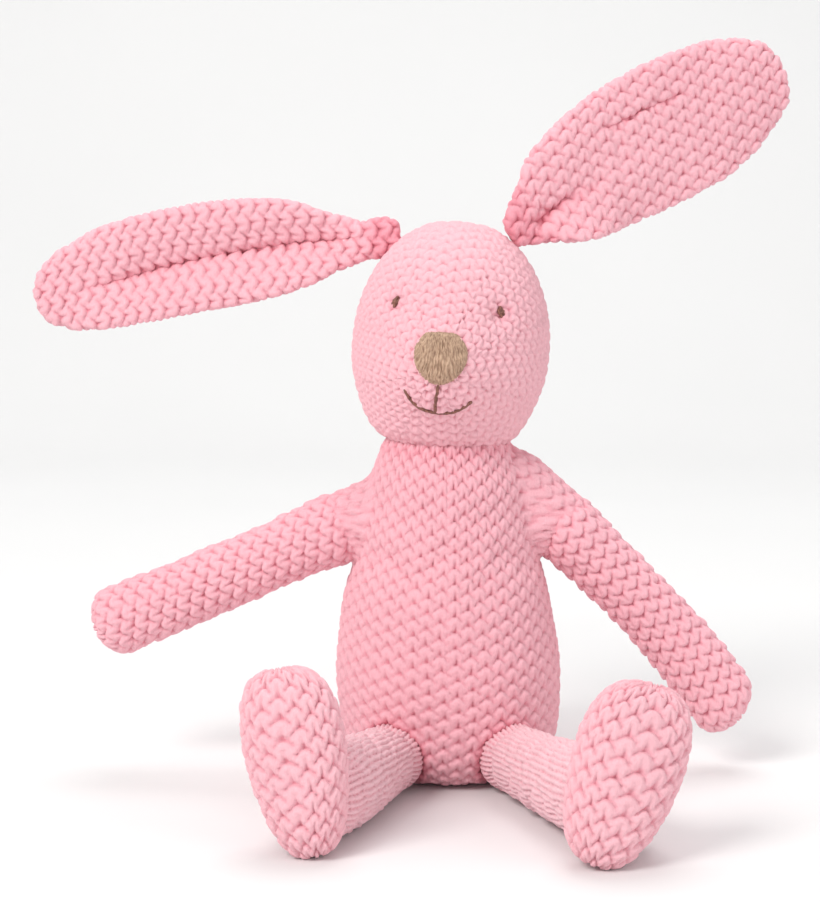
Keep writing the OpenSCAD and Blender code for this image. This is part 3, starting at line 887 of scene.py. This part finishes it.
def ear_skin(side):
    rings, samples = 330, 200
    facts = EAR[side]
    ear_l = facts["length"]
    s = np.linspace(-0.0558, 0.9995, 900)
    half = through(ear_share[side], s) * facts["width"]
    half = np.maximum(half, 0.3)
    run = np.r_[0, np.cumsum(np.hypot(np.diff(s) * ear_l, np.diff(half) * 0.5))]
    at = np.linspace(0, run[-1], rings)
    s, half = np.interp(at, run, s)[:, None], np.interp(at, run, half)[:, None]
    a = np.arange(samples)[None] / samples * TAU
    q = half * np.cos(a)                                   # across the ear, from its middle
    edge = np.minimum(1, half / 6)
    thick = 2.7 * edge * np.sign(np.sin(a)) * np.abs(np.sin(a)) ** 0.55
    x, lift = ear_l * s + 0 * a, through(ear_rise[side], s) + 0 * a
    # painted shade at the ear's root
    dark = 0.5 * np.exp(-np.clip(s * ear_l - 2, 0, 200) / 6) + 0 * a
    if side == "right":
        # cupped along its middle, with a crease that fades towards the tip
        reach = np.clip((s - 0.04) / 0.12, 0, 1) * np.clip((0.93 - s) / 0.25, 0, 1)
        middle = q - (1.5 - 4 * s)
        crease = np.exp(-(middle / 1.7) ** 2) * reach
        back = 6.0 * reach * np.exp(-(middle / 9) ** 2) + 2.6 * crease - 3.0 * reach
        # painted shade along the crease, on the ear's front
        dark = np.maximum(dark, 0.5 * crease * (np.sin(a) < 0))
    else:
        # the lower edge is folded forward at the root, and a short fold runs near the upper edge
        reach = np.clip(s / 0.05, 0, 1) * np.clip((0.34 - s) / 0.26, 0, 1) ** 1.5
        fold = np.clip(-(q + 2.0) / 10, 0, 2)
        back = -6 * reach * fold ** 1.6
        line = np.exp(-((q - 12.5 + 6 * (s - 0.5)) / 1.4) ** 2)
        line = line * np.clip((s - 0.3) / 0.1, 0, 1) * np.clip((0.68 - s) / 0.08, 0, 1)
        back = back + 1.6 * line
        # painted shade along the fold, on the ear's front
        dark = np.maximum(dark, 0.6 * line * (np.sin(a) < 0))
        pocket = np.exp(-((q + 3.5) / 2.6) ** 2) * reach
        back = back + 3.0 * pocket
        # painted shade in the pocket of the folded edge
        dark = np.maximum(dark, 0.85 * pocket * (np.sin(a) < 0))
    back = back + 1.1 * waves(x * 0.035, q * 0.06, 81 if side == "left" else 83)
    grid = np.stack([x, back + thick, lift + q], -1)
    grid = turned(turned(grid, "y", -facts["rise"]), "z", facts["sweep"])
    grid[..., 0] *= SIDES[side]
    grid = grid + joint_at(side + "_ear_flop")
    # the stitches lie flat over both layers, at an angle to the ear
    p = math.radians(facts["pattern"])
    u = (x * math.cos(p) + q * math.sin(p)) / ear_moss.width
    v = (q * math.cos(p) - x * math.sin(p)) / ear_moss.row + 60
    u = u + (np.sin(a) > 0) * 1.0
    du, dv = wandering(u / 20, v, 85 if side == "left" else 87, 0.14)
    return knitted(side + "_ear_skin", grid, ear_moss, lambda row: u + du, v + dv, (6, 4), dark, free=0.3)


for side in SIDES:
    finish_piece(ear_skin(side), side + "_ear", pink,
                 (side + "_ear_front", side + "_ear_back"))


# ---------------------------------------------------------------- sewing yarn

def ring_line(centre, normal, radius, n=240):
    a = np.linspace(0, TAU, n)
    normal = unit(np.array(normal, float))
    p = unit(np.cross(normal, [0.2, 0.3, 0.93]))
    q = np.cross(normal, p)
    return np.array(centre) + radius * (np.cos(a)[:, None] * p + np.sin(a)[:, None] * q)


def sewn(node, body, centre, normal, radius, thick):
    """A ring of doubled yarn along a seam, in place of the CAD ring."""
    piece = tube(node + "_yarn", ring_line(centre, normal, radius), thick, 10, plies=2, twist=0.35)
    finish_piece(piece, body, seam_yarn, (node,))


def box_middle(node):
    low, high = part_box(node)
    return (np.array(low) + np.array(high)) / 2 / MM


sewn("neck_seam", "head", NECK + [0, 0, 19.2], (0, 0, 1), 22.8, 0.7)
for side, s in SIDES.items():
    root = box_middle(side + "_ear_seam")
    sewn(side + "_ear_seam", "head", root, joint_at(side + "_ear_flop") - root, 3.4, 0.6)
    shoulder = box_middle(side + "_shoulder_seam")
    sewn(side + "_shoulder_seam", "torso", shoulder, joint_at(side + "_arm_lift") - shoulder, 5, 0.5)
    ahead = np.array([s * math.sin(math.radians(TOE_OUT)), -math.cos(math.radians(TOE_OUT)), 0])
    sewn(side + "_ankle_seam", side + "_foot", ANKLE[side] + 4.2 * ahead, ahead, 12.8, 0.6)


def knot(node, body):
    """A wound ball of sewing yarn, buried where a limb is sewn on."""
    low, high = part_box(node)
    middle, r = box_middle(node), (high[0] - low[0]) / 2 / MM - 0.5
    t = np.linspace(0.04, math.pi - 0.04, 150)
    winds = 7.3
    ball = np.stack([np.sin(t) * np.cos(winds * 2 * t), np.sin(t) * np.sin(winds * 2 * t), np.cos(t)], -1)
    piece = tube(node + "_yarn", middle + r * ball, 0.55, 8)
    finish_piece(piece, body, seam_yarn, (node,))


knot("neck_knot", "neck")
for side in SIDES:
    for joint in ("shoulder", "hip"):
        knot(f"{side}_{joint}_knot", f"{side}_{joint}")


# ---------------------------------------------------------------- floor, light and camera

def floor():
    size, edge = 6.0, 0.6
    n = 24
    back, rise = 1.6, 2.6
    line = [(-size, 0.0)] + [(back - edge, 0.0)]
    for a in np.linspace(0.1, math.pi / 2, n):
        line.append((back - edge + edge * math.sin(a), edge * (1 - math.cos(a))))
    line += [(back, rise)]
    points, faces = [], []
    for y, z in line:
        points += [(-size, y, z), (size, y, z)]
    for i in range(len(line) - 1):
        faces.append([2 * i, 2 * i + 1, 2 * i + 3, 2 * i + 2])
    mesh = bpy.data.meshes.new("floor")
    mesh.from_pydata(points, [], faces)
    for polygon in mesh.polygons:
        polygon.use_smooth = True
    sweep = bpy.data.objects.new("floor", mesh)
    bpy.context.scene.collection.objects.link(sweep)
    material, tree, shader = nodes_of("floor")
    colour = ramp(tree, noise(tree, 3, 2), [(0.3, srgb(231, 231, 231)), (0.7, srgb(233, 233, 233))])
    tree.links.new(colour, shader.inputs["Base Color"])
    shader.inputs["Roughness"].default_value = 0.85
    shader.inputs["Specular IOR Level"].default_value = 0.2
    mesh.materials.append(material)


def lamp(name, at, aim, size, power, colour=(1, 1, 1)):
    light = bpy.data.lights.new(name, "AREA")
    light.shape, light.size, light.energy, light.color = "DISK", size, power, colour
    holder = bpy.data.objects.new(name, light)
    bpy.context.scene.collection.objects.link(holder)
    holder.location = at
    way = np.array(aim) - np.array(at)
    holder.rotation_euler = (math.atan2(math.hypot(way[0], way[1]), -way[2]), 0, math.atan2(-way[0], way[1]))
    return holder


floor()
lamp("key", (-1.1, -1.3, 1.5), (0, 0, 0.1), 0.9, 26, (1.0, 0.985, 0.96))
lamp("fill", (1.5, -1.2, 0.8), (0, 0, 0.12), 1.4, 7)
lamp("top", (0.1, 0.5, 1.9), (0, 0, 0.1), 1.2, 13)

world = bpy.data.worlds.new("studio")
bpy.context.scene.world = world
world.use_nodes = True
world.node_tree.nodes["Background"].inputs["Color"].default_value = (1, 1, 1, 1)
world.node_tree.nodes["Background"].inputs["Strength"].default_value = 0.62

lens = bpy.data.cameras.new("camera")
lens.sensor_fit, lens.sensor_width, lens.lens = "HORIZONTAL", 36, 93.3
lens.clip_start, lens.clip_end = 0.05, 30
camera = bpy.data.objects.new("camera", lens)
bpy.context.scene.collection.objects.link(camera)
camera.location = (-0.016, -0.8437, 0.2296)
camera.rotation_euler = (math.radians(83), 0, 0)
bpy.context.scene.camera = camera
bpy.context.scene.view_settings.view_transform = "Standard"
